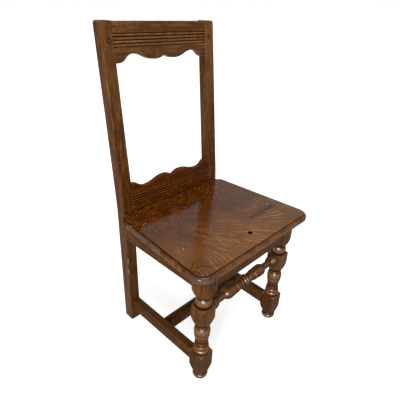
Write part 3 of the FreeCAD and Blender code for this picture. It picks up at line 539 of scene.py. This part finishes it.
# %% Pegs
SEAT_POLISH, SEAT_DULL = 0.44, (0.64, 0.59)     # the pegs of the seat are waxed with it
PEG_GOLD = (0.340, 0.2000, 0.0850, 1.0)
peg_groups = {"top_rail_pegs": "XZY", "front_rail_pegs": "XZY", "seat_pegs": "XYZ"}
for number, (piece, order) in enumerate(peg_groups.items()):
    oak = OldOak(piece + "_oak", order, cut_from(6.9, number), tone=0.02)
    oak.age(wear=0.30)
    polish = 0.04
    if piece == "seat_pegs":
        oak.paint(PEG_GOLD, oak.step(oak.axes["Y"], 0.0, -0.01) * 0.75)
        polish = SEAT_POLISH
    else:
        oak.paint(DARK_OAK, 0.80)
    if piece == "top_rail_pegs":
        off_middle = oak.distance(abs(oak.axes["X"]) - top_peg_out, oak.axes["Z"] - top_peg_up)
        oak.paint(GREY_OAK, oak.step(off_middle, 0.0030, 0.0016) * 0.60)
    wear_finish(piece, oak.close(polish, dull=SEAT_DULL))
print("groups of pegs:", len(peg_groups))

# %% [markdown]
# ## The seat board
# The seat is one wide board with a raised field. Its back is painted amber as the reflection of the dark
# back rails in the wax, and it is golden towards the front and darker on the right. It could be the plain
# oak of the rails, but it is what the eye meets first. So several noises lie over each other, each with
# its own count of lumps across and along the board, and tints lie over them as old varnish does, besides
# the painted reflection at the back.

# %% Seat
SEAT_TINT = (1.0, 0.66, 0.16, 1.0)
# painted reflection: the back of the board warmer and darker where the wax mirrors the dark back rails
MIRRORED_RAIL_TINT = (1.0, 0.72, 0.50, 1.0)
FRONT_OAK = (0.260, 0.0960, 0.0240, 1.0)
LUMPS_UP = 30.0
seat = OldOak("seat_board_oak", "YZX", (1.7, 2.3, 0.4))
across, deep = seat.axes["X"], seat.axes["Y"]
below_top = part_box("seat_board")[1].z - seat.axes["Z"]


def seat_noise(lumps_across, lumps_deep, detail=1.0):
    """Noise over the seat, with its own count of lumps per metre each way."""
    return seat.noise(seat.place, (lumps_across, lumps_deep, LUMPS_UP), detail, 0.6)


field = seat.step(below_top, 0.0007, 0.0002)
to_front = seat.step(deep, 0.02, -0.13)
on_right = seat.step(across, 0.02, 0.13) * seat.step(deep, 0.06, -0.02)
pale_grain = seat.step(seat_noise(150.0, 400.0, 3.0), 0.46, 0.66)
gold_specks = seat.step(seat_noise(420.0, 420.0, 2.0), 0.50, 0.66)
dark_grain = seat.step(seat_noise(110.0, 700.0, 2.0), 0.56, 0.68)
clouds = seat.step(seat_noise(16.0, 22.0, 3.0), 0.48, 0.66)
dark_pores = seat.step(seat_noise(260.0, 900.0, 2.0), 0.52, 0.64)
gold_dashes = seat.step(seat_noise(330.0, 600.0, 2.0), 0.54, 0.66)
seat.paint(MID_OAK, 0.45)
seat.paint(PALE_OAK, pale_grain * 0.60)
seat.paint(PALE_OAK, to_front * 0.60)
seat.paint(GOLD_RAY, gold_specks * to_front * 0.45)
seat.paint(DARK_OAK, dark_grain * 0.60)
seat.stain(SEAT_TINT, 0.35 + 0.65 * field)
# painted reflection of the dark back rails at the back of the board
seat.stain(MIRRORED_RAIL_TINT, seat.step(deep, 0.00, 0.06))
seat.paint(FRONT_OAK, field * to_front * 0.55)
seat.paint(DARK_OAK, field * on_right * 0.30)
seat.paint(DARK_OAK, field * clouds * (0.36 - 0.14 * to_front))
seat.paint(DARK_OAK, field * dark_pores * 0.45)
seat.paint(GOLD_RAY, field * gold_dashes * (0.20 + 0.50 * to_front))
print("grain of the seat ready")

# %% [markdown]
# ## Ribbons on the seat
# The board was sawn along the rays, so they cross it as long golden ribbons. Each could be drawn as a
# curve. A ribbon is also a contour line: a number that climbs steadily and wavers a little is cut into
# thin bands, and a noise breaks the bands into strokes. In front that number is the bearing from a point
# on the left, so the ribbons fan out from there. At the back it climbs over the board at a slant.

# %% Seat ribbons
SEAT_RAY = (0.520, 0.2400, 0.0750, 1.0)
AMBER_RAY = (0.400, 0.1700, 0.0300, 1.0)
FAN = (-0.11, 0.03)                         # the point that the front ribbons fan out from
RIBBONS_PER_RADIAN = 20.0
RIBBONS_ACROSS, RIBBONS_DEEP = -66.0, 140.0     # back ribbons per metre


def away_from(x, y):
    """Distance over the board from a place on it."""
    return seat.distance(across - x, deep - y)


def ribbons(climb, strokes, width):
    """Thin broken bands where a climbing number passes each whole step."""
    return seat.step(abs(climb % 1.0 - 0.5), width, width * 0.3) * seat.step(strokes, 0.43, 0.60)


waver = seat_noise(7.0, 7.0, 2.0)
ripple = seat_noise(40.0, 40.0)
clusters = field * seat.step(seat_noise(20.0, 15.0), 0.37, 0.54)
bearing = seat.calculate("ARCTAN2", across - FAN[0], FAN[1] - deep)
climb = bearing * RIBBONS_PER_RADIAN + waver * 6.0 + ripple * 0.9
strokes = seat.noise(seat.join(bearing, away_from(*FAN), 0.0), (16.0, 17.0, 1.0), 2.0, 0.6)
in_front = seat.step(deep - across * 0.25, 0.05, -0.05) * seat.step(deep, 0.01, -0.05)
seat.paint(SEAT_RAY, ribbons(climb, strokes, 0.15) * clusters * in_front * 0.85)
climb = deep * RIBBONS_DEEP + across * RIBBONS_ACROSS + waver * 9.0 + ripple * 2.0
strokes = seat_noise(60.0, 95.0, 2.0)
seat.paint(AMBER_RAY, field * ribbons(climb, strokes, 0.18) * seat.step(deep, -0.03, 0.06) * 0.70)
seat.age()
print("ribbons of the seat ready, fanned from", FAN)

# %% [markdown]
# ## The worn nose
# The rounded nose round the field is rubbed orange above, which also stands as a painted highlight on its
# upper rounding, and dry and grey below. It is darkest along the left edge and at the near corner, and wax
# sits in the step between nose and field. A band of painted shadow lies on the nose just below the step,
# strongest along the left edge. The nose could be a second material, but its faces run smoothly on. The
# depth below the top of the seat tells the bands apart, since the nose only ever curves down from the
# field.

# %% Seat nose
NOSE_OAK = (0.240, 0.0800, 0.0160, 1.0)
NEAR_CORNER = (-0.165, -0.155)
GRIME = (-0.147, -0.126)                # on the field beside that corner
nose = 1.0 - field
left_edge = seat.step(across, -0.13, -0.16)
left_back = left_edge * seat.step(deep, -0.09, -0.05)
upper_nose = nose * seat.step(below_top, 0.0065, 0.0032)
lower_nose = nose * seat.step(below_top, 0.0050, 0.0080)
rubs = seat_noise(55.0, 55.0, 3.0)
# upper rounding: rubbed orange, and a painted highlight
seat.paint(NOSE_OAK, upper_nose * seat.step(rubs, 0.36, 0.56) * (0.70 - 0.50 * left_back))
seat.paint(GREY_OAK, nose * seat.step(rubs, 0.46, 0.60) * (0.05 + 0.55 * left_back))
seat.paint(DARK_OAK, nose * seat.step(rubs, 0.54, 0.36) * (0.50 + 0.20 * left_edge))
seat.paint(GREY_OAK, lower_nose * (1.0 - left_edge) * 0.30)
seat.paint(DARK_OAK, nose * seat.step(away_from(*NEAR_CORNER), 0.050, 0.020) * 0.45)
smears = seat.step(seat_noise(130.0, 260.0, 3.0), 0.42, 0.58)
seat.paint(DARK_OAK, field * seat.step(away_from(*GRIME), 0.036, 0.012) * smears * 0.55)
# painted shadow: a dark band on the nose just below the step
seat.paint(DARK_OAK, nose * seat.step(below_top, 0.0038, 0.0028) * (0.10 + 0.35 * left_edge))
seat.paint(DARK_WAX, nose * seat.step(below_top, 0.0019, 0.0015) * (0.55 + 0.25 * left_edge))
print("nose of the seat ready")

# %% [markdown]
# ## Hole, split and polish
# A lost peg has left an empty hole with a broken rim, and a stain follows a short split on the right. The
# hole is in the solid. The rim and the split are too shallow for that, and a bump would still need their
# colour, so they are drawn here: each is a distance from a place on the board, made uneven by noise.

# %% Seat hole and split
INK_STAIN = (0.011, 0.0070, 0.0048, 1.0)
HOLE = (0.0045, -0.1207)
SPLIT_DEEP, SPLIT_WAVER = -0.0850, 0.012            # where the split runs, and how far it wavers
SPLIT_START, SPLIT_WIDTH, SPLIT_SPREAD = 0.040, 0.0016, 0.016   # it widens from its start to the right
SEAT_PEGS = [(0.1344, -0.0705), (0.1359, 0.0555)]   # out and deep, the same on both sides
CHIP = (-0.1585, 0.0610)
GLOSSY_CORNER = (-0.160, -0.148)
NOSE_POLISH = 0.20
rim = away_from(*HOLE) + (seat_noise(200.0, 200.0) - 0.5) * 0.006
seat.paint(WORN_OAK, field * seat.step(rim, 0.0110, 0.0070) * 0.40)
seat.paint(DARK_WAX, seat.step(rim, 0.0058, 0.0048))
off_split = abs(deep - SPLIT_DEEP + (waver - 0.5) * SPLIT_WAVER)
split = off_split / (SPLIT_WIDTH + (across - SPLIT_START) * SPLIT_SPREAD)
ends = field * seat.step(across, 0.042, 0.060) * seat.step(across, 0.148, 0.130)
seat.paint(DARK_OAK, seat.step(split, 7.0, 0.5) * ends * 0.55)
seat.paint(INK_STAIN, seat.step(split, 2.0, 0.2) * ends * seat.step(ripple, 0.30, 0.60) * 0.70)
for out, back in SEAT_PEGS:
    seat.peg_joint(abs(across) - out, deep - back, 0.60)
seat.paint(CHALK, seat.step(away_from(*CHIP), 0.0018, 0.0010))
corner = nose * seat.step(away_from(*GLOSSY_CORNER), 0.022, 0.012)
polish = NOSE_POLISH + (SEAT_POLISH - NOSE_POLISH) * field + 0.60 * corner
wear_finish("seat_board", seat.close(polish, shine=0.01, dull=SEAT_DULL))
print("seat finished, with", len(seat.tree.nodes), "nodes")

# %% [markdown]
# ## Floor and studio
# The chair stands on plain white. The floor could be lit until it is white, but then the chair would be
# too bright. So a pale floor carries the soft shadow, and a little light of its own, seen only by the
# camera and in reflections, lifts it to white. The world around it does the same.


# %% Floor
def white_where_seen(finish):
    """One for what the camera sees directly or in a reflection, nought for the light that falls on things."""
    ray = finish.node("ShaderNodeLightPath")
    mirrored = finish.calculate("MAXIMUM", ray["Is Glossy Ray"], ray["Is Transmission Ray"])
    return finish.calculate("MAXIMUM", ray["Is Camera Ray"], mirrored)


FLOOR_SIZE, FLOOR_DROP = 30.0, 0.0005
PAPER, SHADED_GLOW, WHITE = (0.80, 0.80, 0.80, 1.0), (0.72, 0.72, 0.72, 1.0), (1.0, 1.0, 1.0, 1.0)
bpy.ops.object.select_all(action="DESELECT")
bpy.ops.mesh.primitive_plane_add(size=FLOOR_SIZE, location=(0, 0, -FLOOR_DROP))
floor = bpy.context.object
floor.name = "floor"
paper = Finish("white_paper")
matt = paper.node("ShaderNodeBsdfDiffuse", {}, {"Color": PAPER})["BSDF"]
place = paper.node("ShaderNodeTexCoord")["Object"]
away = paper.node("ShaderNodeVectorMath", {"operation": "LENGTH"}, {0: place})["Value"]
lift = paper.mix(SHADED_GLOW, WHITE, paper.step(away, 0.5, 1.4))
glow = paper.node("ShaderNodeEmission", {}, {"Color": lift, "Strength": white_where_seen(paper)})["Emission"]
both = paper.node("ShaderNodeAddShader", {}, {0: matt, 1: glow})["Shader"]
paper.node("ShaderNodeOutputMaterial", {}, {"Surface": both})
floor.data.materials.append(paper.material)
print("floor:", FLOOR_SIZE, "metres wide")


# %% Studio
class Surroundings(Finish):
    """The world around the chair, as a finish."""

    def __init__(self, world):
        world.use_nodes = True
        self.tree = world.node_tree
        self.tree.nodes.clear()


STUDIO_LIGHT = 0.32                     # how strongly the world lights the chair; seen, it is white
studio = bpy.data.worlds.new("studio")
bpy.context.scene.world = studio
sky = Surroundings(studio)
strength = STUDIO_LIGHT + (1.0 - STUDIO_LIGHT) * white_where_seen(sky)
light = sky.node("ShaderNodeBackground", {}, {"Color": WHITE, "Strength": strength})["Background"]
sky.node("ShaderNodeOutputWorld", {}, {"Surface": light})
print("studio light:", STUDIO_LIGHT)

# %% [markdown]
# ## Lamps
# A chair by a window has one bright side. So a strong lamp on the left shapes the posts and turnings, and
# weak ones above, behind and on the right keep the shadows soft. The polished turnings mirror a broad
# window as well. A larger lamp would show it, but it would flatten everything else. So a softbox is seen
# only in reflections, and light linking lets only the turned pieces mirror it.

# %% Lamps
LAMP_DISTANCE = 2.2
AIM = Vector((0.0, 0.0, 0.30))          # about the height of the seat


def lamp(name, azimuth, height, size, power):
    """Soft lamp round the chair: azimuth from the front to the right, height above the level, in degrees."""
    around, above = math.radians(azimuth), math.radians(height)
    level = math.cos(above)
    reach = Vector((math.sin(around) * level, -math.cos(around) * level, math.sin(above)))
    bpy.ops.object.light_add(type="AREA", location=AIM + reach * LAMP_DISTANCE)
    made = bpy.context.object
    made.name = name
    made.data.size = size
    made.data.energy = power
    made.rotation_euler = (-reach).to_track_quat("-Z", "Y").to_euler()
    return made


lamp("left_lamp", -60, 15, size=0.48, power=31.0)
lamp("right_lamp", 45, 32, size=0.60, power=1.2)
lamp("top_lamp", -10, 75, size=1.00, power=14.0)
lamp("back_lamp", 180, 25, size=1.00, power=7.0)
softbox = lamp("softbox", -50, 10, size=1.50, power=190.0)
softbox.visible_diffuse = False
mirrored_by = bpy.data.collections.new("turned_pieces")
for piece in LEGS + ["front_stretcher"]:
    mirrored_by.objects.link(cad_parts[piece])
softbox.light_linking.receiver_collection = mirrored_by

# %% [markdown]
# ## Camera
# The chair is seen from its left front, from above and quite near, so its lines run together. The view
# could be set by eye. It was worked out from corners of the chair whose places are known, together with
# its proportions, so the numbers here aren't round.

# %% Camera
EYE = (-0.51416, -0.47570, 0.71364)
LENS, SENSOR = 32.57, 36.0              # millimetres
YAW, PITCH, ROLL = math.radians(46.072), math.radians(28.213), math.radians(2.246)
bpy.ops.object.camera_add()
camera = bpy.context.object
bpy.context.scene.camera = camera
camera.data.lens = LENS
camera.data.sensor_width = SENSOR
upright = Matrix.Rotation(-YAW, 4, "Z") @ Matrix.Rotation(math.pi / 2 - PITCH, 4, "X")
camera.matrix_world = Matrix.Translation(EYE) @ upright @ Matrix.Rotation(ROLL, 4, "Z")
print("camera at:", [round(c, 2) for c in EYE])

# %% [markdown]
# ## Colours
# The Standard view shows a colour about as it is written. A film look would be softer, but it would shift
# every brown. Nothing here has changed the shape of the chair, so its box is still that of the CAD model.

# %% Colour management
bpy.context.scene.view_settings.view_transform = "Standard"
